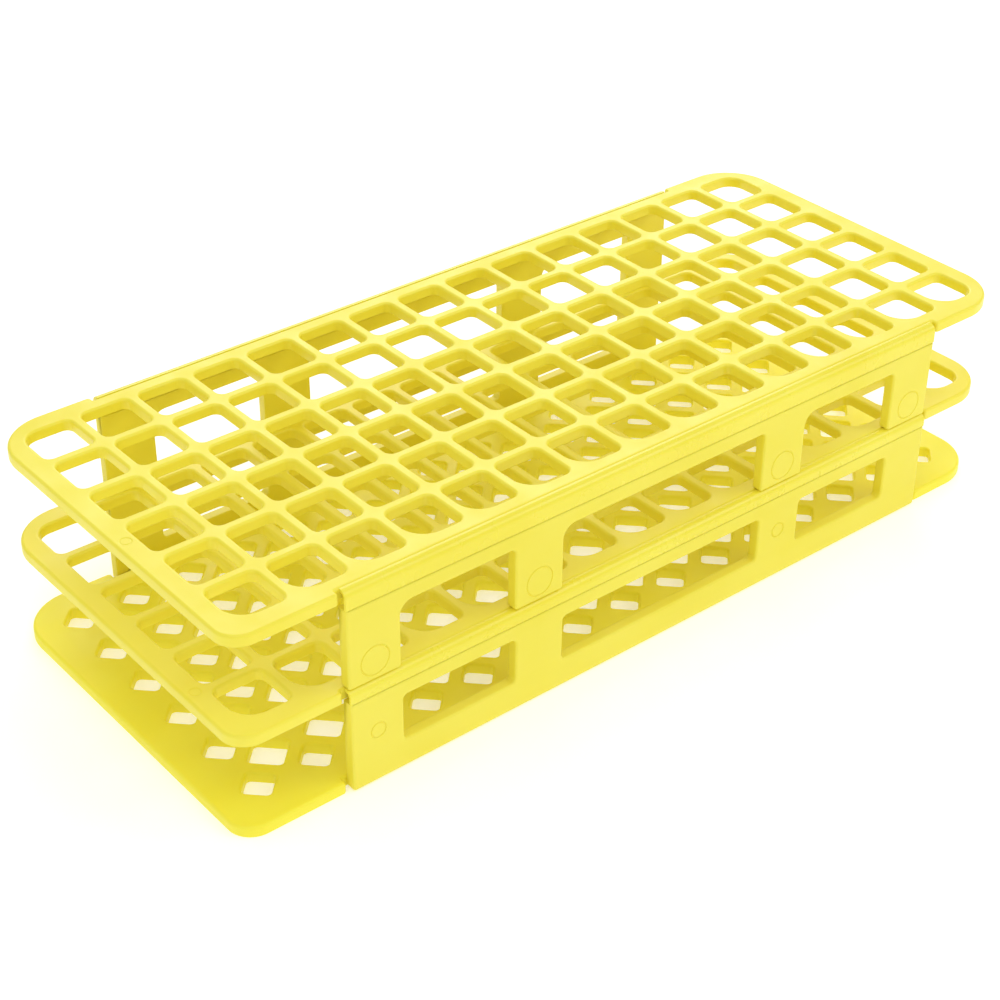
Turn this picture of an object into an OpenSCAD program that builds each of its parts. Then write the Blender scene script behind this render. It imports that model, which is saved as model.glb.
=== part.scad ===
// Test tube holder: a rack of three drilled decks carried on two pairs of side panels.
// The upper and middle decks are each moulded in one with two side panels, joined by thin
// hinge strips that fold down through a right angle. The bottom deck is a separate plate.
// X runs along the rack, Y across it, Z up. The middle of the underside is the origin.

/* [Tube places] */
// number of tube places along the rack
columns = 15; // [4:1:24]
// number of tube places across the rack
rows = 6; // [2:1:10]
// distance between the middles of neighbouring tube places
tube_pitch = 16; // [13:0.1:26]
// width of the bars left between tube holes
bar_width = 2.8; // [1.6:0.1:5]
// radius of the corners of a tube hole
hole_radius = 2; // [0.5:0.1:4]
// radius of the wide corner that every hole of the front row has at its front left
wide_radius = 6.2; // [2:0.1:6.6]
// radius of the outermost corner of the other three corner holes
end_hole_radius = 4.6; // [2:0.1:6.6]

/* [Decks] */
// thickness of each deck
deck_thickness = 3; // [2:0.1:6]
// plate left between the outer tube holes and the ends of a deck
end_margin = 5.7; // [3:0.1:12]
// plate left between the outer tube holes and the long edges of a deck
side_margin = 5.9; // [4.4:0.1:12]
// radius of three corners of each deck
corner_radius = 14; // [6:0.5:24]
// radius of the front left corner, which shows which way round a deck goes
index_radius = 6.5; // [1:0.5:14]
// length of each deck that runs past the side panels at an end
end_overhang = 29.2; // [20:0.5:60]

/* [Levels] */
// height of the top face of the top deck above the table
rack_height = 56; // [46:0.5:90]
// height of the top face of the middle deck above the table
middle_height = 29; // [24:0.5:44]

/* [Side panels] */
// thickness of a side panel
panel_thickness = 3; // [2.6:0.1:5]
// how far a lower panel stands out past the long edge of the deck ends
panel_stand_out = 1.1; // [0.6:0.1:3]
// how much further in the upper panels stand than the lower ones
upper_set_in = 0.5; // [0:0.1:1.5]
// width of each of the four uprights in a panel
upright_width = 14.6; // [12:0.1:24]
// depth of the rail above the windows of an upper panel
upper_rail = 9.5; // [7:0.1:12]
// depth of the rail above the windows of a lower panel
lower_rail = 8; // [6:0.1:12]
// depth of the rail below the windows of a lower panel
bottom_rail = 8; // [5:0.1:10]
// radius of the upper left corner of each upper window
window_radius = 3.5; // [1:0.1:5]
// radius of the other window corners
small_window_radius = 1.2; // [0.5:0.1:2.5]
// width of the slit that parts each panel from the ends of its deck
slit_width = 1.2; // [0.6:0.1:2.5]

/* [Hinge strips] */
// thickness of a hinge strip
strip_thickness = 0.8; // [0.5:0.1:1.2]
// outer radius of the fold
fold_radius = 2; // [1.5:0.1:3]
// drop from the face of the top deck to the line where its strips meet the upper panels
upper_strip_drop = 5.1; // [4:0.1:6.5]
// drop from the face of the middle deck to the line where its strips meet the lower panels
lower_strip_drop = 3.6; // [3.4:0.1:6.5]

/* [Bottom deck] */
// side of the small square opening under each tube place, which stands on its corner
seat_size = 7; // [4:0.1:9]
// side of the larger square openings between the tube places
drain_size = 8.5; // [4:0.1:9]
// corner radius of the openings in the bottom deck
diamond_radius = 1.1; // [0.4:0.1:2]

/* [Lugs] */
// length of each lug that locates a panel on the deck below it
lug_length = 8; // [5:0.5:11]
// height of the lugs that stand on the middle deck
lug_height = 2.2; // [1.2:0.1:3]
// how far the lugs of the bottom deck reach into the lower panels
lug_reach = 1.4; // [0.8:0.1:1.8]
// clearance between a lug and its pocket
lug_clearance = 0.2; // [0.15:0.05:0.4]
// gap left under the feet of the upper panels
foot_gap = 0.12; // [0.1:0.01:0.3]
// gap between the table and the lower edge of the lower panels
table_gap = 0.3; // [0.2:0.1:1]

/* [Mould marks] */
// diameter of the round mark on each upright of an upper panel
large_mark = 8.3; // [4:0.1:10]
// diameter of the round mark on an upright of a lower panel
small_mark = 4.6; // [2:0.1:8]
// width of the groove around a mark
mark_width = 0.35; // [0.2:0.05:0.8]
// depth of the groove around a mark
mark_depth = 0.15; // [0.1:0.05:0.4]

/* [Hidden] */
$fn = 48;
hole_size = tube_pitch - bar_width;
deck_length = columns * tube_pitch - bar_width + 2 * end_margin;
deck_depth = rows * tube_pitch - bar_width + 2 * side_margin;
panel_length = deck_length - 2 * end_overhang;
window_space = panel_length - 4 * upright_width;
side_window = window_space / 4;
centre_window = window_space / 2;
lower_face = deck_depth / 2 + panel_stand_out;
upper_face = lower_face - upper_set_in;
// distance from the outer face of a panel to the long edge of the full deck plate
plate_set_in = fold_radius + 0.3;
// the bottom deck stops short of the inner faces of the lower panels
bottom_edge = lower_face - panel_thickness - 0.2;
upper_panel_top = rack_height - upper_strip_drop;
lower_panel_top = middle_height - lower_strip_drop;
upper_panel_foot = middle_height + foot_gap;
first_upright = -panel_length / 2;
second_upright = first_upright + upright_width + side_window;
third_upright = second_upright + upright_width + centre_window;
fourth_upright = third_upright + upright_width + side_window;
plastic_yellow = [0.96, 0.89, 0.25];
shade_yellow = [0.93, 0.84, 0.2];

// material to take off a right-angled corner at the origin to leave it rounded
module corner_scrap(radius) {
  difference() {
    translate([-1, -1]) square(radius + 1);
    translate([radius, radius]) circle(radius);
  }
}

// rectangle about the origin whose four corners each have their own radius
module rounded_plate(length, depth, front_left, front_right, rear_left, rear_right) {
  difference() {
    square([length, depth], center = true);
    translate([-length / 2, -depth / 2]) corner_scrap(front_left);
    translate([length / 2, -depth / 2]) mirror([1, 0]) corner_scrap(front_right);
    translate([-length / 2, depth / 2]) mirror([0, 1]) corner_scrap(rear_left);
    translate([length / 2, depth / 2]) rotate(180) corner_scrap(rear_right);
  }
}

function place_x(i) = (i - (columns - 1) / 2) * tube_pitch;
function place_y(j) = (j - (rows - 1) / 2) * tube_pitch;

module tube_hole(i, j) {
  front = (j == 0);
  rear = (j == rows - 1);
  left = (i == 0);
  right = (i == columns - 1);
  translate([place_x(i), place_y(j)])
    rounded_plate(hole_size, hole_size,
      front ? wide_radius : hole_radius,
      front && right ? end_hole_radius : hole_radius,
      rear && left ? end_hole_radius : hole_radius,
      rear && right ? end_hole_radius : hole_radius);
}

module tube_holes() {
  for (i = [0 : columns - 1]) for (j = [0 : rows - 1]) tube_hole(i, j);
}

module deck_outline() {
  rounded_plate(deck_length, deck_depth, index_radius, corner_radius, corner_radius, corner_radius);
}

// the strip taken off one long side, from slit to slit, so that a panel can hang there
module side_notch(plate_edge) {
  translate([-panel_length / 2 - slit_width, plate_edge])
    square([panel_length + 2 * slit_width, deck_depth]);
}

module deck_plate(plate_edge) {
  difference() {
    deck_outline();
    side_notch(plate_edge);
    mirror([0, 1]) side_notch(plate_edge);
  }
}

module diamond(size) {
  rotate(45) rounded_plate(size, size, diamond_radius, diamond_radius, diamond_radius,
    diamond_radius);
}

// middles of the four uprights along X
function upright_middles() = [for (start = [first_upright, second_upright, third_upright,
  fourth_upright]) start + upright_width / 2];

module bottom_lug() {
  translate([-lug_length / 2, bottom_edge - 0.5, 0.7])
    cube([lug_length, 0.7 + lug_reach, deck_thickness - 1.2]);
}

module bottom_deck() {
  color(shade_yellow) union() {
    linear_extrude(deck_thickness) difference() {
      deck_plate(bottom_edge);
      for (i = [0 : columns - 1]) for (j = [0 : rows - 1])
        translate([place_x(i), place_y(j)]) diamond(seat_size);
      for (i = [0 : columns - 2]) for (j = [0 : rows - 2])
        translate([place_x(i) + tube_pitch / 2, place_y(j) + tube_pitch / 2]) diamond(drain_size);
    }
    for (middle = upright_middles()) {
      translate([middle, 0, 0]) bottom_lug();
      translate([middle, 0, 0]) mirror([0, 1, 0]) bottom_lug();
    }
  }
}

// a lug stands on the margin of the middle deck inside the foot of an upper panel
module middle_lug() {
  inner = upper_face - panel_thickness;
  translate([-lug_length / 2, inner, middle_height - 1])
    cube([lug_length, lower_face - plate_set_in - inner, 1 + lug_height]);
}

module middle_deck() {
  color(plastic_yellow) union() {
    translate([0, 0, middle_height - deck_thickness]) linear_extrude(deck_thickness)
      difference() {
        deck_plate(lower_face - plate_set_in);
        tube_holes();
      }
    for (middle = upright_middles()) {
      translate([middle, 0, 0]) middle_lug();
      translate([middle, 0, 0]) mirror([0, 1, 0]) middle_lug();
    }
  }
}

module top_deck() {
  color(plastic_yellow)
    translate([0, 0, rack_height - deck_thickness]) linear_extrude(deck_thickness)
      difference() {
        deck_plate(upper_face - plate_set_in);
        tube_holes();
      }
}

// section of a folded hinge strip: x is the distance out from its inner end, y the height
module strip_section(drop) {
  reach = plate_set_in - fold_radius;
  translate([0, -strip_thickness]) square([reach, strip_thickness]);
  translate([reach, -fold_radius]) intersection() {
    difference() {
      circle(fold_radius);
      circle(fold_radius - strip_thickness);
    }
    square(fold_radius);
  }
  translate([reach + fold_radius - strip_thickness, -drop])
    square([strip_thickness, drop - fold_radius]);
}

// a hinge strip along the rear side, with its outer face at the given distance from the middle
module hinge_strip(face, level, drop) {
  translate([-panel_length / 2, face - plate_set_in, level])
    rotate([90, 0, 90]) linear_extrude(panel_length) strip_section(drop);
}

module lower_rear_hinge() { color(plastic_yellow) hinge_strip(lower_face, middle_height, lower_strip_drop); }
module lower_front_hinge() { mirror([0, 1, 0]) lower_rear_hinge(); }
module upper_rear_hinge() { color(plastic_yellow) hinge_strip(upper_face, rack_height, upper_strip_drop); }
module upper_front_hinge() { mirror([0, 1, 0]) upper_rear_hinge(); }

// one window as a plan shape, from its lower left corner
module window(length, height, top_left, others, bottom) {
  translate([length / 2, height / 2])
    rounded_plate(length, height, bottom, bottom, top_left, others);
}

// ring groove around a round mark, cut into the outer face of a panel
module mark_groove(diameter) {
  difference() {
    cylinder(h = 2 * mark_depth, r = diameter / 2, center = true);
    cylinder(h = 3 * mark_depth, r = diameter / 2 - mark_width, center = true);
  }
}

// pocket in the inner face of a panel, open at its lower edge, that takes a lug
module lug_pocket(middle, bottom, height, depth) {
  translate([middle - lug_length / 2 - lug_clearance, bottom - 1, panel_thickness - depth])
    cube([lug_length + 2 * lug_clearance, height + 1, depth + 1]);
}

// an upper panel lying flat: X along it, Y up it, its outer face on the plane Z = 0
module upper_panel() {
  height = upper_panel_top - upper_panel_foot;
  opening = rack_height - upper_rail - upper_panel_foot;
  pocket_height = lug_height - foot_gap + lug_clearance;
  mark_level = height * 0.23;
  difference() {
    linear_extrude(panel_thickness) difference() {
      translate([-panel_length / 2, 0]) square([panel_length, height]);
      translate([first_upright + upright_width, -5])
        window(side_window, opening + 5, window_radius, small_window_radius, 0.5);
      translate([second_upright + upright_width, -5])
        window(centre_window, opening + 5, window_radius, small_window_radius, 0.5);
      translate([third_upright + upright_width, -5])
        window(side_window, opening + 5, window_radius, small_window_radius, 0.5);
    }
    for (middle = upright_middles()) {
      lug_pocket(middle, 0, pocket_height, panel_thickness - plate_set_in + upper_set_in
        + lug_clearance);
      translate([middle, mark_level, 0]) mark_groove(large_mark);
    }
  }
}

// a lower panel lying flat in the same way
module lower_panel() {
  height = lower_panel_top - table_gap;
  opening = middle_height - lower_rail - bottom_rail - table_gap;
  pocket_height = deck_thickness - table_gap;
  difference() {
    linear_extrude(panel_thickness) difference() {
      translate([-panel_length / 2, 0]) square([panel_length, height]);
      translate([first_upright + upright_width, bottom_rail])
        window(side_window, opening, small_window_radius, small_window_radius,
          small_window_radius);
      translate([second_upright + upright_width, bottom_rail])
        window(centre_window, opening, small_window_radius, small_window_radius,
          small_window_radius);
      translate([third_upright + upright_width, bottom_rail])
        window(side_window, opening, small_window_radius, small_window_radius,
          small_window_radius);
    }
    for (middle = upright_middles())
      lug_pocket(middle, 0, pocket_height, lug_reach + lug_clearance);
    translate([first_upright + upright_width / 2, height * 0.58, 0]) mark_groove(small_mark);
    translate([third_upright + upright_width / 2, height * 0.58, 0]) mark_groove(small_mark);
  }
}

module upper_front_panel() {
  color(plastic_yellow) translate([0, -upper_face, upper_panel_foot])
    rotate([90, 0, 0]) mirror([0, 0, 1]) upper_panel();
}
module upper_rear_panel() { mirror([0, 1, 0]) upper_front_panel(); }

module lower_front_panel() {
  color(plastic_yellow) translate([0, -lower_face, table_gap])
    rotate([90, 0, 0]) mirror([0, 0, 1]) lower_panel();
}
module lower_rear_panel() { mirror([0, 1, 0]) lower_front_panel(); }

bottom_deck();
middle_deck();
top_deck();
lower_front_panel();
lower_rear_panel();
upper_front_panel();
upper_rear_panel();
lower_front_hinge();
lower_rear_hinge();
upper_front_hinge();
upper_rear_hinge();
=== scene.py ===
"""Looks of a moulded test tube rack: three pierced decks, four side panels and four hinge strips."""

import math

import bmesh
import bpy
from mathutils import Matrix, Vector


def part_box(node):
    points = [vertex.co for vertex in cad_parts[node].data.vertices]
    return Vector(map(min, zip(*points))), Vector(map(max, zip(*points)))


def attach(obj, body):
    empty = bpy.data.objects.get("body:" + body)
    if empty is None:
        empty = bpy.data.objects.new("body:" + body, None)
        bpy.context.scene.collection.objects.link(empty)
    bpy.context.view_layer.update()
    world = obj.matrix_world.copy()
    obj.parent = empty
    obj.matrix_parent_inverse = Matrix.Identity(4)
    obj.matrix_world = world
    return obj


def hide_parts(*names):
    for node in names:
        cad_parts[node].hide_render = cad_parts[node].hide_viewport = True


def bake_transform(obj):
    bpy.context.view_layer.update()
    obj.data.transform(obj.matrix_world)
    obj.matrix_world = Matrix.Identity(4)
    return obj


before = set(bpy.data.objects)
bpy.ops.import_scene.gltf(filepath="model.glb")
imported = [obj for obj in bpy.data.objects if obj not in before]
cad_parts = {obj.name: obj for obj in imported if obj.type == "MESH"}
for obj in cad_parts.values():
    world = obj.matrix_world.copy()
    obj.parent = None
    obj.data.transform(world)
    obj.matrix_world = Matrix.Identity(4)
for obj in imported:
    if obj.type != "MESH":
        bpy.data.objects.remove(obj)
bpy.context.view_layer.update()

MM = 0.001  # pieces are shaped in millimetres and finished in metres

# ---- sizes of the rack, in millimetres ------------------------------------------------------------

COLUMNS = 15
ROWS = 6
PITCH = 16
HOLE = 13.2
HOLE_CORNER = 2
WIDE_CORNER = 6.2
END_HOLE_CORNER = 4.6
DECK_CORNER = 14
INDEX_CORNER = 6.5
SLIT = 1.2
SEAT = 7
DRAIN = 8.5
DIAMOND_CORNER = 1.1
UPRIGHT = 14.6
UPPER_RAIL = 9.5
LOWER_RAIL = 8
BOTTOM_RAIL = 8
WINDOW_CORNER = 3.5
SMALL_CORNER = 1.2
FOLD_RADIUS = 2
STRIP = 0.8
LUG_LENGTH = 8
LUG_PLAY = 0.2
LARGE_MARK = 8.3
SMALL_MARK = 4.6

DECK_MARK = 3
TOP_MARK_Y = -7
MIDDLE_MARK_Y = -31.7
# height of a mark's middle, as a share of its panel's height
LARGE_MARK_LEVEL = 0.245
SMALL_MARK_LEVEL = 0.58
# depth and width of the groove round a mark
DECK_GROOVE = (0.12, 0.4)
PANEL_GROOVE = (0.22, 0.5)
# shares of a groove's width taken by each sloping side and by its floor
GROOVE_SIDE = 0.35
GROOVE_FLOOR = 0.3
LUG_ROOT = 1  # how far the middle deck's lugs start below its top face
# how far the base lugs start inside the edge and stand out of it, and the heights they fill
BASE_LUG_ROOT = 0.5
BASE_LUG_REACH = 1.6
BASE_LUG_FOOT = 0.7
BASE_LUG_TOP = 2.5
# height and depth of the pockets that take the lugs
UPPER_POCKET = (2.28, 1.4)
LOWER_POCKET = (2.7, 1.6)
BASE_GAP = 0.2  # between the bottom deck and the lower panels
CUT_PAST = 1  # how far a cutting shape runs past the face it cuts

# how far the edges of the mouldings are rounded over
TOP_EDGE = 0.7
UNDER_EDGE = 0.3
PANEL_EDGE = 0.6
SEAM_EDGE = 0.14
LUG_EDGE = 0.2
# plan radius of the small outer and inner corners
OUTER_CORNER = 0.9
FOOT_CORNER = 0.8
INNER_CORNER = 0.25
# width of the flat collar laid along every edge before it is rounded
DECK_COLLAR = 0.85
PANEL_COLLAR = 0.7
MARK_COLLAR = 0.2
CLOSE = 0.01

# how finely curves are divided
DISC_SIDES = 44
CORNER_STEPS = 6
DIAMOND_STEPS = 4
WIDER_STEPS = 2
TOP_EDGE_STEPS = 4
PANEL_EDGE_STEPS = 3
FINE_EDGE_STEPS = 2
FOLD_STEPS = 12
HANG_STEPS = 3

RIGHT_ANGLE = math.radians(90)
EDGE_TURN = math.radians(60)  # an edge that turns more than this is a corner to round over
SHARP_TURN = math.radians(50)  # an edge that turns more than this is shaded sharp
LARGE_FACES_FIRST = 100  # weight that lets the large flat faces set the shading

# ---- materials and room ----------------------------------------------------------------------

DECK_TONES = ((0.95, 0.85, 0.08), (0.9, 0.77, 0.035))
PANEL_TONES = ((0.92, 0.82, 0.08), (0.87, 0.76, 0.045))
# the base deck's own yellow, painted brighter than the decks' tones to make up for the shade the
# decks above cast on it: painted light
BASE_TONES_PAINTED_BRIGHT = ((0.98, 0.89, 0.05), (0.95, 0.84, 0.035))
STREAK_SHARE = 0.35
STREAK_STRETCH = (0.25, 1, 1)
NOISE_RANGE = (0.3, 0.7)
RELIEF = 0.05 * MM
SCATTER_DEPTH = 1.5 * MM
SCATTER_SPREAD = (1.0, 0.75, 0.12)
PLASTIC_IOR = 1.49

FLOOR_SIZE = 6
FLOOR_COLOUR = (0.93, 0.93, 0.925, 1)
FLOOR_ROUGHNESS = 0.9
FLOOR_GLOSS = 0.1
FLOOR_GLOW = 0.3
WHITE = (1, 1, 1, 1)
ROOM_LIGHT = 0.66
AIM = (0, 0, 0.03)
# name, place, size and power of each soft light
LIGHTS = (
    ("key", (-0.35, -0.25, 0.9), 0.5, 1.4),
    ("front_fill", (0.62, -0.62, 0.75), 0.6, 2.1),
    ("sheen", (0.7, 0.9, 0.75), 0.9, 5),
)

SENSOR = 36
LENS = 74.7
NEAREST = 0.01
AZIMUTH = 50.38
ELEVATION = 33.57
ROLL = 0.56
VIEWPOINT = Vector((-0.2975, -0.349, 0.3172))


def extent(node):
    """Lowest and highest corner of a node, in millimetres."""
    return [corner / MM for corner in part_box(node)]


# places that follow from the frame
TOP_FOOT, TOP_HEAD = extent("top_deck")
DECK_END = TOP_HEAD.x
DECK_SIDE = TOP_HEAD.y
TOP_LEVEL = TOP_HEAD.z
DECK_THICKNESS = TOP_HEAD.z - TOP_FOOT.z
MIDDLE_LEVEL = extent("middle_deck")[0].z + DECK_THICKNESS
PANEL_END = extent("lower_rear_panel")[1].x
CENTRE_WINDOW = PANEL_END - 2 * UPRIGHT


# ---- shaping tools ---------------------------------------------------------------------------


def rounded_face(bm, points, radii, segments=CORNER_STEPS):
    """A flat face through plan points, with its own radius at each corner."""
    corners = [bm.verts.new((x, y, 0)) for x, y in points]
    bm.faces.new(corners)
    for corner, radius in zip(corners, radii):
        if radius > 0:
            bmesh.ops.bevel(
                bm, geom=[corner], offset=radius, offset_type="OFFSET",
                segments=segments + int(radius / HOLE_CORNER) * WIDER_STEPS, profile=0.5,
                affect="VERTICES", material=-1, clamp_overlap=False,
            )
    bm.faces.ensure_lookup_table()
    return bm.faces[0]


def rectangle(length, depth):
    """Corner points of a rectangle about the origin, front left one first."""
    x, y = length / 2, depth / 2
    return [(-x, -y), (x, -y), (x, y), (-x, y)]


def inset(bm, face, thickness, depth=0):
    bmesh.ops.inset_region(bm, faces=[face], thickness=thickness, depth=depth,
                           use_even_offset=True, use_boundary=True)


def opening(length, depth, radii, collar, turn=0.0, segments=CORNER_STEPS):
    """Pattern of a flat collar round an opening; its outer loop is marked to join the plate."""
    bm = bmesh.new()
    outer = rectangle(length + 2 * collar, depth + 2 * collar)
    face = rounded_face(bm, outer, [r + collar for r in radii], segments)
    inset(bm, face, collar)
    joins = [edge for edge in bm.edges if edge.is_boundary]
    bmesh.ops.delete(bm, geom=[face], context="FACES_ONLY")
    bmesh.ops.rotate(bm, verts=bm.verts, matrix=Matrix.Rotation(turn, 3, "Z"))
    return as_pattern(bm, joins)


def disc(diameter):
    """Pattern of a round face with a narrow collar, let into the plate where a mould mark goes."""
    bm = bmesh.new()
    radius = diameter / 2 + MARK_COLLAR
    bmesh.ops.create_circle(bm, cap_ends=True, radius=radius, segments=DISC_SIDES)
    bm.faces.ensure_lookup_table()
    inset(bm, bm.faces[0], MARK_COLLAR)
    return as_pattern(bm, [edge for edge in bm.edges if edge.is_boundary])


def as_pattern(bm, joins):
    for edge in joins:
        edge.seam = True
    pattern = bpy.data.meshes.new("pattern")
    bm.to_mesh(pattern)
    bm.free()
    return pattern


def add_pattern(bm, pattern, x, y):
    before = len(bm.verts)
    bm.from_mesh(pattern)
    bm.verts.ensure_lookup_table()
    bmesh.ops.translate(bm, verts=bm.verts[before:], vec=(x, y, 0))


def plate(points, radii, openings, thickness, collar):
    """A plate from height 0 up to its thickness, with the openings given as (pattern, x, y)."""
    bm = bmesh.new()
    face = rounded_face(bm, points, radii)
    inset(bm, face, collar)
    for edge in face.edges:
        edge.seam = True
    bmesh.ops.delete(bm, geom=[face], context="FACES_ONLY")
    for pattern, x, y in openings:
        add_pattern(bm, pattern, x, y)
    joins = [edge for edge in bm.edges if edge.seam]
    bmesh.ops.triangle_fill(bm, edges=joins, use_beauty=True, normal=(0, 0, 1))
    for edge in joins:
        edge.seam = False
    raised = bmesh.ops.extrude_face_region(bm, geom=bm.faces[:])
    top = [v for v in raised["geom"] if isinstance(v, bmesh.types.BMVert)]
    bmesh.ops.translate(bm, vec=(0, 0, thickness), verts=top)
    bmesh.ops.recalc_face_normals(bm, faces=bm.faces)
    return bm


def round_over(bm, height, radius, segments, skip=None):
    """Rounds the edges at a height between a flat face and a wall, except where skip says so."""
    edges = []
    for edge in bm.edges:
        at_height = all(abs(v.co.z - height) < CLOSE for v in edge.verts)
        if at_height and edge.calc_face_angle(0) > EDGE_TURN and not (skip and skip(edge)):
            edges.append(edge)
    bmesh.ops.bevel(
        bm, geom=edges, offset=radius, offset_type="OFFSET", segments=segments, profile=0.5,
        affect="EDGES", material=-1, clamp_overlap=False, loop_slide=True,
    )


def block(low, high, edge):
    """A block between two corners with its edges rounded."""
    bm = bmesh.new()
    bmesh.ops.create_cube(bm, size=1)
    bmesh.ops.scale(bm, vec=high - low, verts=bm.verts)
    bmesh.ops.translate(bm, vec=(low + high) / 2, verts=bm.verts)
    if edge > 0:
        bmesh.ops.bevel(bm, geom=bm.edges[:], offset=edge, offset_type="OFFSET",
                        segments=FINE_EDGE_STEPS, profile=0.5, affect="EDGES", material=-1)
    return bm


def press_mark(bm, x, y, height, depth, width):
    """Sinks a ring groove round the disc that is centred on a plan point."""
    for face in list(bm.faces):
        centre = face.calc_center_median()
        here = math.hypot(centre.x - x, centre.y - y) < CLOSE and abs(centre.z - height) < CLOSE
        if here and len(face.verts) == DISC_SIDES:
            inset(bm, face, width * GROOVE_SIDE, -depth)
            inset(bm, face, width * GROOVE_FLOOR)
            inset(bm, face, width * GROOVE_SIDE, depth)


def make_piece(name, bm, material):
    mesh = bpy.data.meshes.new(name)
    bm.to_mesh(mesh)
    bm.free()
    piece = bpy.data.objects.new(name, mesh)
    bpy.context.scene.collection.objects.link(piece)
    mesh.materials.append(material)
    return piece


def combine(piece, tools, operation):
    """Joins the tool shapes to a piece or cuts them from it."""
    merged = bmesh.new()
    for tool in tools:
        shape = bpy.data.meshes.new("tool")
        tool.to_mesh(shape)
        tool.free()
        merged.from_mesh(shape)
    helper = make_piece("tool", merged, piece.data.materials[0])
    change = piece.modifiers.new("combine", "BOOLEAN")
    change.operation = operation
    change.object = helper
    change.solver = "EXACT"
    bpy.context.view_layer.update()
    evaluated = piece.evaluated_get(bpy.context.evaluated_depsgraph_get())
    result = bpy.data.meshes.new_from_object(evaluated)
    piece.modifiers.clear()
    piece.data = result
    bpy.data.objects.remove(helper)


def finish_piece(piece, body, node):
    """Brings a piece to metres and shades it, and then it takes its node's place."""
    piece.data.transform(Matrix.Scale(MM, 4))
    piece.data.shade_smooth()
    piece.data.set_sharp_from_angle(angle=SHARP_TURN)
    normals = piece.modifiers.new("even_shading", "WEIGHTED_NORMAL")
    normals.keep_sharp = True
    normals.weight = LARGE_FACES_FIRST
    if body:
        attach(piece, body)
    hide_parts(node)
    return piece


# ---- decks -----------------------------------------------------------------------------------


def place_x(i):
    return (i - (COLUMNS - 1) / 2) * PITCH


def place_y(j):
    return (j - (ROWS - 1) / 2) * PITCH


def hole_corners(i, j):
    """Corner radii of a tube hole: front left, front right, rear right and rear left."""
    front, rear = j == 0, j == ROWS - 1
    left, right = i == 0, i == COLUMNS - 1
    return (
        WIDE_CORNER if front else HOLE_CORNER,
        END_HOLE_CORNER if front and right else HOLE_CORNER,
        END_HOLE_CORNER if rear and right else HOLE_CORNER,
        END_HOLE_CORNER if rear and left else HOLE_CORNER,
    )


def tube_holes():
    patterns = {}
    places = []
    for i in range(COLUMNS):
        for j in range(ROWS):
            corners = hole_corners(i, j)
            if corners not in patterns:
                patterns[corners] = opening(HOLE, HOLE, corners, DECK_COLLAR)
            places.append((patterns[corners], place_x(i), place_y(j)))
    return places


def drain_openings():
    corners = [DIAMOND_CORNER] * 4
    seat = opening(SEAT, SEAT, corners, DECK_COLLAR, RIGHT_ANGLE / 2, DIAMOND_STEPS)
    drain = opening(DRAIN, DRAIN, corners, DECK_COLLAR, RIGHT_ANGLE / 2, DIAMOND_STEPS)
    places = [(seat, place_x(i), place_y(j)) for i in range(COLUMNS) for j in range(ROWS)]
    for i in range(COLUMNS - 1):
        for j in range(ROWS - 1):
            places.append((drain, place_x(i) + PITCH / 2, place_y(j) + PITCH / 2))
    return places


def deck_outline(plate_edge):
    """Plan of a deck: its long edges step in between the slits, where the panels hang."""
    x, y = DECK_END, DECK_SIDE
    step = PANEL_END + SLIT
    points = [
        (-x, -y), (-step, -y), (-step, -plate_edge), (step, -plate_edge), (step, -y), (x, -y),
        (x, y), (step, y), (step, plate_edge), (-step, plate_edge), (-step, y), (-x, y),
    ]
    radii = [
        INDEX_CORNER, OUTER_CORNER, INNER_CORNER, INNER_CORNER, OUTER_CORNER, DECK_CORNER,
        DECK_CORNER, OUTER_CORNER, INNER_CORNER, INNER_CORNER, OUTER_CORNER, DECK_CORNER,
    ]
    return points, radii


def deck(name, node, level, openings, plate_edge, material, strips=True, marks=(), lugs=()):
    """A deck whose top face is at a level; where strips leave it, its edge stays square."""
    points, radii = deck_outline(plate_edge)
    discs = [(disc(size), x, y) for x, y, size in marks]
    bm = plate(points, radii, openings + discs, DECK_THICKNESS, DECK_COLLAR)

    def meets_strip(edge):
        return strips and all(
            abs(v.co.y) > plate_edge - CLOSE and abs(v.co.x) < PANEL_END + SLIT / 2
            for v in edge.verts
        )

    round_over(bm, DECK_THICKNESS, TOP_EDGE, TOP_EDGE_STEPS, meets_strip)
    round_over(bm, 0, UNDER_EDGE, FINE_EDGE_STEPS)
    for x, y, size in marks:
        press_mark(bm, x, y, DECK_THICKNESS, *DECK_GROOVE)
    bmesh.ops.translate(bm, vec=(0, 0, level - DECK_THICKNESS), verts=bm.verts)
    piece = make_piece(name, bm, material)
    if lugs:
        combine(piece, [block(Vector(a), Vector(b), LUG_EDGE) for a, b in lugs], "UNION")
    return finish_piece(piece, node, node)


def upright_middles():
    half = UPRIGHT / 2
    distances = (PANEL_END - half, CENTRE_WINDOW / 2 + half)
    return [sign * x for sign in (-1, 1) for x in distances]


def lug_boxes(inner, outer, foot, top):
    """Lugs on both long sides of a deck, one behind each upright."""
    boxes = []
    for x in upright_middles():
        for a, b in ((inner, outer), (-outer, -inner)):
            boxes.append(((x - LUG_LENGTH / 2, a, foot), (x + LUG_LENGTH / 2, b, top)))
    return boxes


# ---- side panels -----------------------------------------------------------------------------


def windows():
    """Left and right edges of the three windows along a panel."""
    inner = PANEL_END - UPRIGHT
    centre = CENTRE_WINDOW / 2
    return [(-inner, -centre - UPRIGHT), (-centre, centre), (centre + UPRIGHT, inner)]


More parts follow.
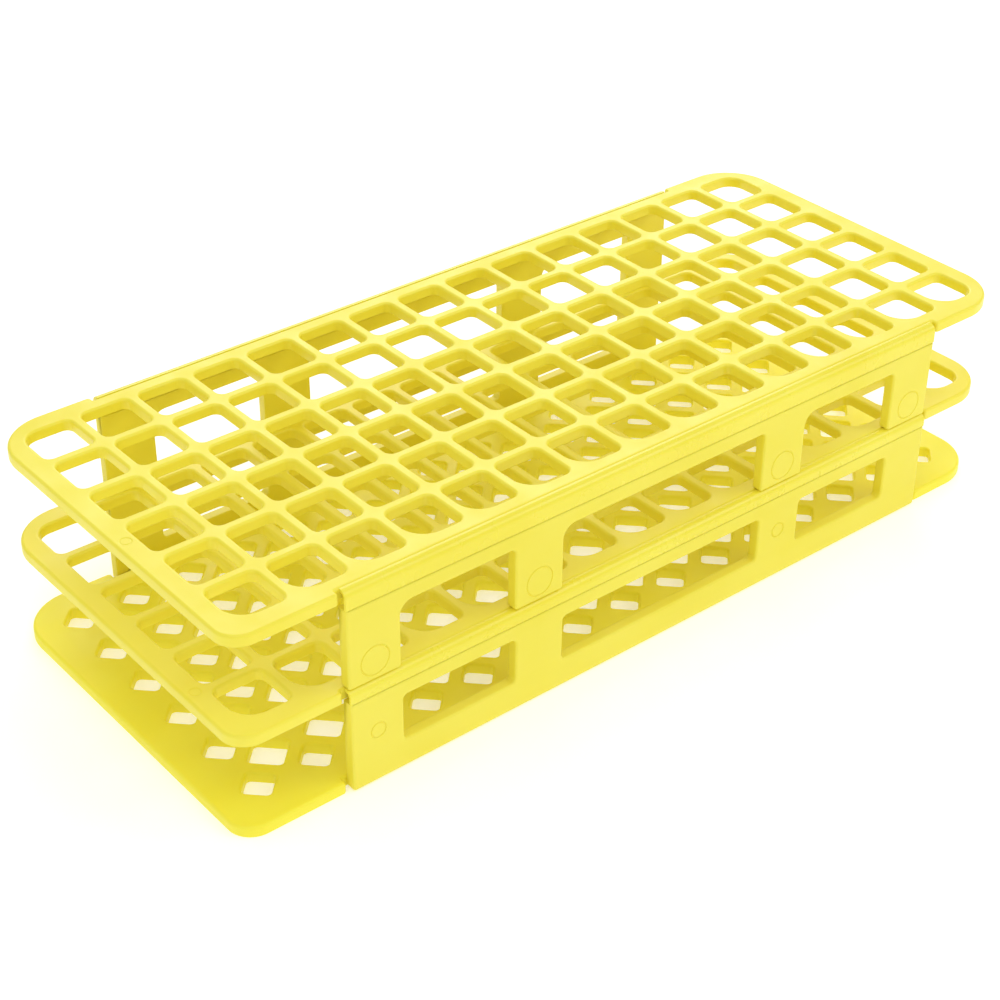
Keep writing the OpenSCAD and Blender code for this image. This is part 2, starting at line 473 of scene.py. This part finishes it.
def upper_outline(height, window_top):
    """Plan of an upper panel lying flat: its windows are open at the foot."""
    points, radii = [(-PANEL_END, 0)], [FOOT_CORNER]
    for left, right in windows():
        points += [(left, 0), (left, window_top), (right, window_top), (right, 0)]
        radii += [FOOT_CORNER, WINDOW_CORNER, SMALL_CORNER, FOOT_CORNER]
    points += [(PANEL_END, 0), (PANEL_END, height), (-PANEL_END, height)]
    radii += [FOOT_CORNER, 0, 0]
    return points, radii


def lower_windows(window_top):
    window_low = BOTTOM_RAIL
    places = []
    for left, right in windows():
        pattern = opening(right - left, window_top - window_low, [SMALL_CORNER] * 4, PANEL_COLLAR)
        places.append((pattern, (left + right) / 2, (window_low + window_top) / 2))
    return places


def side_panel(name, node, points, radii, openings, marks, pocket, material):
    """A panel built lying on its outer face, then stood up on its side of the rack."""
    foot, top = extent(node)
    pocket_top, pocket_depth = pocket
    thickness = top.y - foot.y
    height = top.z - foot.z
    discs = [(disc(size), x, y) for x, y, size in marks]
    bm = plate(points, radii, openings + discs, thickness, PANEL_COLLAR)

    def meets_strip(edge):
        return all(abs(v.co.y - height) < CLOSE for v in edge.verts)

    round_over(bm, 0, PANEL_EDGE, PANEL_EDGE_STEPS, meets_strip)
    round_over(bm, thickness, UNDER_EDGE, FINE_EDGE_STEPS, meets_strip)
    for x, y, size in marks:
        press_mark(bm, x, y, 0, *PANEL_GROOVE)
    piece = make_piece(name, bm, material)
    pockets = []
    reach = LUG_LENGTH / 2 + LUG_PLAY
    for x in upright_middles():
        pockets.append(block(Vector((x - reach, -CUT_PAST, thickness - pocket_depth)),
                             Vector((x + reach, pocket_top, thickness + CUT_PAST)), 0))
    combine(piece, pockets, "DIFFERENCE")
    front = top.y < 0
    outward, face = (1, foot.y) if front else (-1, top.y)
    stand = Matrix(((1, 0, 0, 0), (0, 0, outward, face), (0, 1, 0, foot.z), (0, 0, 0, 1)))
    piece.data.transform(stand)
    if stand.determinant() < 0:
        piece.data.flip_normals()
    return finish_piece(piece, node, node)


# ---- hinge strips ----------------------------------------------------------------------------


def hinge_strip(name, node, material):
    """A thin strip that leaves the deck flat, turns down through the fold and hangs to the panel."""
    foot, top = extent(node)
    side = 1 if top.y > 0 else -1
    inner = min(abs(foot.y), abs(top.y))
    outer = max(abs(foot.y), abs(top.y))
    x = PANEL_END
    bm = bmesh.new()
    section = [
        bm.verts.new((x, inner, z))
        for x, z in ((-x, top.z), (x, top.z), (x, top.z - STRIP), (-x, top.z - STRIP))
    ]
    rim = [bm.edges.new((section[k - 1], section[k])) for k in range(4)]
    rim = sweep(bm, rim, (0, outer - FOLD_RADIUS - inner, 0))
    turned = bmesh.ops.spin(
        bm, geom=rim, cent=(0, outer - FOLD_RADIUS, top.z - FOLD_RADIUS), axis=(1, 0, 0),
        angle=-RIGHT_ANGLE, steps=FOLD_STEPS, use_duplicate=False,
    )
    rim = [part for part in turned["geom_last"] if isinstance(part, bmesh.types.BMEdge)]
    for _ in range(HANG_STEPS):
        rim = sweep(bm, rim, (0, 0, (foot.z - top.z + FOLD_RADIUS) / HANG_STEPS))
    bmesh.ops.holes_fill(bm, edges=bm.edges, sides=4)
    bmesh.ops.recalc_face_normals(bm, faces=bm.faces)
    round_strip_ends(bm, foot.z, outer)
    bmesh.ops.scale(bm, vec=(1, side, 1), verts=bm.verts)
    bmesh.ops.recalc_face_normals(bm, faces=bm.faces)
    piece = make_piece(name, bm, material)
    finish_piece(piece, None, node)
    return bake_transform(piece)


def sweep(bm, rim, step):
    """Draws a loop of edges along by a step and gives back the loop at its end."""
    made = bmesh.ops.extrude_edge_only(bm, edges=rim)["geom"]
    bmesh.ops.translate(bm, vec=step, verts=[v for v in made if isinstance(v, bmesh.types.BMVert)])
    return [part for part in made if isinstance(part, bmesh.types.BMEdge)]


def round_strip_ends(bm, foot, outer):
    """Softens the two ends of a strip and the line where it meets its panel."""
    ends = []
    seam = []
    for edge in bm.edges:
        a, b = (v.co for v in edge.verts)
        if edge.calc_face_angle(0) < EDGE_TURN:
            continue
        if abs(a.x - b.x) < CLOSE and abs(abs(a.x) - PANEL_END) < CLOSE:
            ends.append(edge)
        elif all(abs(v.z - foot) < CLOSE and abs(v.y - outer) < CLOSE for v in (a, b)):
            seam.append(edge)
    bmesh.ops.bevel(bm, geom=ends + seam, offset=SEAM_EDGE, offset_type="OFFSET",
                    segments=FINE_EDGE_STEPS, profile=0.5, affect="EDGES", material=-1,
                    clamp_overlap=True)


# ---- materials -------------------------------------------------------------------------------


def node_group(name, inputs, outputs):
    """An empty shader group with named inputs, given as (name, type, value), and outputs."""
    group = bpy.data.node_groups.new(name, "ShaderNodeTree")
    for label, kind, value in inputs:
        socket = group.interface.new_socket(name=label, in_out="INPUT", socket_type=kind)
        socket.default_value = value
    for label, kind in outputs:
        group.interface.new_socket(name=label, in_out="OUTPUT", socket_type=kind)
    return group, group.nodes.new("NodeGroupInput"), group.nodes.new("NodeGroupOutput")


def noise(tree, scale, detail, roughness=0.5, stretch=(1, 1, 1)):
    """Noise on object coordinates, in features per metre."""
    coordinates = tree.nodes.new("ShaderNodeTexCoord")
    mapping = tree.nodes.new("ShaderNodeMapping")
    mapping.inputs["Scale"].default_value = stretch
    texture = tree.nodes.new("ShaderNodeTexNoise")
    texture.inputs["Scale"].default_value = scale
    texture.inputs["Detail"].default_value = detail
    texture.inputs["Roughness"].default_value = roughness
    tree.links.new(coordinates.outputs["Object"], mapping.inputs["Vector"])
    tree.links.new(mapping.outputs["Vector"], texture.inputs["Vector"])
    return texture.outputs["Fac"]


def spread(tree, value, low, high):
    """Maps the middle of a noise's range onto low to high."""
    node = tree.nodes.new("ShaderNodeMapRange")
    node.inputs["From Min"].default_value, node.inputs["From Max"].default_value = NOISE_RANGE
    tree.links.new(value, node.inputs["Value"])
    for socket, limit in (("To Min", low), ("To Max", high)):
        if isinstance(limit, (int, float)):
            node.inputs[socket].default_value = limit
        else:
            tree.links.new(limit, node.inputs[socket])
    return node.outputs["Result"]


def melt_colour():
    """Colour of the moulded plastic: cloudy where the melt flowed, with faint flow streaks."""
    group, given, result = node_group(
        "melt_colour",
        [("Pale", "NodeSocketColor", WHITE), ("Deep", "NodeSocketColor", WHITE)],
        [("Color", "NodeSocketColor")],
    )
    clouds = spread(group, noise(group, scale=28, detail=3), 0.0, 1.0)
    streaks = noise(group, scale=60, detail=4, roughness=0.6, stretch=STREAK_STRETCH)
    streaks = spread(group, streaks, 0.0, 1.0)
    share = group.nodes.new("ShaderNodeMath")
    share.operation = "MULTIPLY_ADD"
    share.inputs[1].default_value = STREAK_SHARE
    group.links.new(streaks, share.inputs[0])
    scaled = group.nodes.new("ShaderNodeMath")
    scaled.operation = "MULTIPLY"
    scaled.inputs[1].default_value = 1 - STREAK_SHARE
    group.links.new(clouds, scaled.inputs[0])
    group.links.new(scaled.outputs[0], share.inputs[2])
    mix = group.nodes.new("ShaderNodeMix")
    mix.data_type = "RGBA"
    group.links.new(share.outputs[0], mix.inputs["Factor"])
    group.links.new(given.outputs["Pale"], mix.inputs["A"])
    group.links.new(given.outputs["Deep"], mix.inputs["B"])
    group.links.new(mix.outputs["Result"], result.inputs["Color"])
    return group


def mould_texture():
    """Fine spark-eroded grain of the mould and slow waviness, as a height, and a roughness."""
    group, given, result = node_group(
        "mould_texture",
        [
            ("Smooth", "NodeSocketFloat", 0.3), ("Rough", "NodeSocketFloat", 0.5),
            ("Grain Share", "NodeSocketFloat", 0.5),
        ],
        [("Height", "NodeSocketFloat"), ("Roughness", "NodeSocketFloat")],
    )
    grain = noise(group, scale=2600, detail=2, roughness=0.6)
    waves = noise(group, scale=160, detail=2)
    height = group.nodes.new("ShaderNodeMix")
    height.data_type = "FLOAT"
    group.links.new(given.outputs["Grain Share"], height.inputs["Factor"])
    group.links.new(waves, height.inputs["A"])
    group.links.new(grain, height.inputs["B"])
    group.links.new(height.outputs["Result"], result.inputs["Height"])
    patches = noise(group, scale=90, detail=4, roughness=0.6)
    rough = spread(group, patches, given.outputs["Smooth"], given.outputs["Rough"])
    group.links.new(rough, result.inputs["Roughness"])
    return group


def plastic(name, groups, tones, roughness, grain_share, bump, translucency=0.12):
    """Satin polypropylene, a little translucent; tones and roughness are given as two ends."""
    colour_group, texture_group = groups
    pale, deep = tones
    smooth, rough = roughness
    material = bpy.data.materials.new(name)
    material.use_nodes = True
    tree = material.node_tree
    shader = tree.nodes["Principled BSDF"]
    colour = tree.nodes.new("ShaderNodeGroup")
    colour.node_tree = colour_group
    colour.inputs["Pale"].default_value = (*pale, 1)
    colour.inputs["Deep"].default_value = (*deep, 1)
    texture = tree.nodes.new("ShaderNodeGroup")
    texture.node_tree = texture_group
    texture.inputs["Smooth"].default_value = smooth
    texture.inputs["Rough"].default_value = rough
    texture.inputs["Grain Share"].default_value = grain_share
    relief = tree.nodes.new("ShaderNodeBump")
    relief.inputs["Strength"].default_value = bump
    relief.inputs["Distance"].default_value = RELIEF
    tree.links.new(colour.outputs["Color"], shader.inputs["Base Color"])
    tree.links.new(texture.outputs["Roughness"], shader.inputs["Roughness"])
    tree.links.new(texture.outputs["Height"], relief.inputs["Height"])
    tree.links.new(relief.outputs["Normal"], shader.inputs["Normal"])
    shader.inputs["IOR"].default_value = PLASTIC_IOR
    shader.inputs["Subsurface Weight"].default_value = translucency
    shader.inputs["Subsurface Radius"].default_value = SCATTER_SPREAD
    shader.inputs["Subsurface Scale"].default_value = SCATTER_DEPTH
    return material


# ---- room ------------------------------------------------------------------------------------


def pale_floor():
    bm = bmesh.new()
    bmesh.ops.create_grid(bm, x_segments=1, y_segments=1, size=FLOOR_SIZE)
    material = bpy.data.materials.new("pale_floor")
    material.use_nodes = True
    shader = material.node_tree.nodes["Principled BSDF"]
    shader.inputs["Base Color"].default_value = FLOOR_COLOUR
    shader.inputs["Roughness"].default_value = FLOOR_ROUGHNESS
    shader.inputs["Specular IOR Level"].default_value = FLOOR_GLOSS
    shader.inputs["Emission Color"].default_value = WHITE
    shader.inputs["Emission Strength"].default_value = FLOOR_GLOW
    floor = make_piece("floor", bm, material)


def soft_light(name, place, size, power):
    data = bpy.data.lights.new(name, "AREA")
    data.shape = "DISK"
    data.size = size
    data.energy = power
    light = bpy.data.objects.new(name, data)
    light.location = place
    light.rotation_euler = (Vector(AIM) - Vector(place)).to_track_quat("-Z", "Y").to_euler()
    bpy.context.scene.collection.objects.link(light)


def studio():
    world = bpy.data.worlds.new("studio")
    world.use_nodes = True
    background = world.node_tree.nodes["Background"]
    background.inputs["Color"].default_value = WHITE
    background.inputs["Strength"].default_value = ROOM_LIGHT
    bpy.context.scene.world = world
    for light in LIGHTS:
        soft_light(*light)
    bpy.context.scene.view_settings.view_transform = "Standard"


def camera():
    """The viewpoint: in front and to the left, looking down along the rack."""
    data = bpy.data.cameras.new("camera")
    data.sensor_width = SENSOR
    data.lens = LENS
    data.clip_start = NEAREST
    viewer = bpy.data.objects.new("camera", data)
    azimuth, elevation, roll = (math.radians(a) for a in (AZIMUTH, ELEVATION, ROLL))
    ahead = Vector((math.cos(azimuth) * math.cos(elevation),
                    math.sin(azimuth) * math.cos(elevation), -math.sin(elevation)))
    turn = ahead.to_track_quat("-Z", "Y").to_matrix() @ Matrix.Rotation(roll, 3, "Z")
    viewer.matrix_world = Matrix.Translation(VIEWPOINT) @ turn.to_4x4()
    bpy.context.scene.collection.objects.link(viewer)
    bpy.context.scene.camera = viewer


# ---- the rack --------------------------------------------------------------------------------


def decks(groups):
    deck_plastic = plastic("deck_plastic", groups, DECK_TONES, roughness=(0.3, 0.5),
                           grain_share=0.5, bump=0.4)
    # the base deck's plastic carries painted light: its tones are brighter to offset the shade of the
    # decks above
    base_plastic_painted_bright = plastic("base_plastic_painted_bright", groups, BASE_TONES_PAINTED_BRIGHT, roughness=(0.4, 0.55),
                           grain_share=0.7, bump=0.45, translucency=0.15)
    margin = DECK_END - (DECK_END + place_x(0) - HOLE / 2) / 2
    top_plate = extent("upper_rear_hinge")[0].y
    middle_plate = extent("lower_rear_hinge")[0].y
    base_plate = extent("lower_rear_panel")[0].y - BASE_GAP
    middle_lugs = lug_boxes(
        extent("upper_rear_panel")[0].y, middle_plate,
        MIDDLE_LEVEL - LUG_ROOT, extent("middle_deck")[1].z,
    )
    base_lugs = lug_boxes(
        base_plate - BASE_LUG_ROOT, base_plate + BASE_LUG_REACH, BASE_LUG_FOOT, BASE_LUG_TOP,
    )
    deck("top_moulding_deck", "top_deck", TOP_LEVEL, tube_holes(), top_plate, deck_plastic,
         marks=[(-margin, TOP_MARK_Y, DECK_MARK)])
    deck("middle_moulding_deck", "middle_deck", MIDDLE_LEVEL, tube_holes(), middle_plate,
         deck_plastic, marks=[(-margin, MIDDLE_MARK_Y, DECK_MARK)], lugs=middle_lugs)
    deck("base_moulding", "bottom_deck", DECK_THICKNESS, drain_openings(), base_plate, base_plastic_painted_bright,
         strips=False, lugs=base_lugs)


def sides(groups):
    panel_plastic = plastic("panel_plastic", groups, PANEL_TONES, roughness=(0.36, 0.54),
                            grain_share=0.7, bump=0.5)
    strip_plastic = plastic("strip_plastic", groups, DECK_TONES, roughness=(0.22, 0.34),
                            grain_share=0.2, bump=0.05, translucency=0.15)
    middles = upright_middles()

    foot, top = extent("upper_rear_panel")
    height = top.z - foot.z
    points, radii = upper_outline(height, TOP_LEVEL - UPPER_RAIL - foot.z)
    marks = [(x, height * LARGE_MARK_LEVEL, LARGE_MARK) for x in middles]
    for side in ("front", "rear"):
        panel = f"upper_{side}_panel"
        side_panel(f"upper_{side}_side", panel, points, radii, [], marks, UPPER_POCKET, panel_plastic)
        hinge_strip(f"upper_{side}_strip", f"upper_{side}_hinge", strip_plastic)

    foot, top = extent("lower_rear_panel")
    height = top.z - foot.z
    points = [(-PANEL_END, 0), (PANEL_END, 0), (PANEL_END, height), (-PANEL_END, height)]
    radii = [FOOT_CORNER, FOOT_CORNER, 0, 0]
    marked = (min(middles), CENTRE_WINDOW / 2 + UPRIGHT / 2)
    marks = [(x, height * SMALL_MARK_LEVEL, SMALL_MARK) for x in marked]
    openings = lower_windows(MIDDLE_LEVEL - LOWER_RAIL - foot.z)
    for side in ("front", "rear"):
        panel = f"lower_{side}_panel"
        side_panel(f"lower_{side}_side", panel, points, radii, openings, marks, LOWER_POCKET,
                   panel_plastic)
        hinge_strip(f"lower_{side}_strip", f"lower_{side}_hinge", strip_plastic)


camera()
studio()
pale_floor()
plastic_groups = (melt_colour(), mould_texture())
decks(plastic_groups)
sides(plastic_groups)
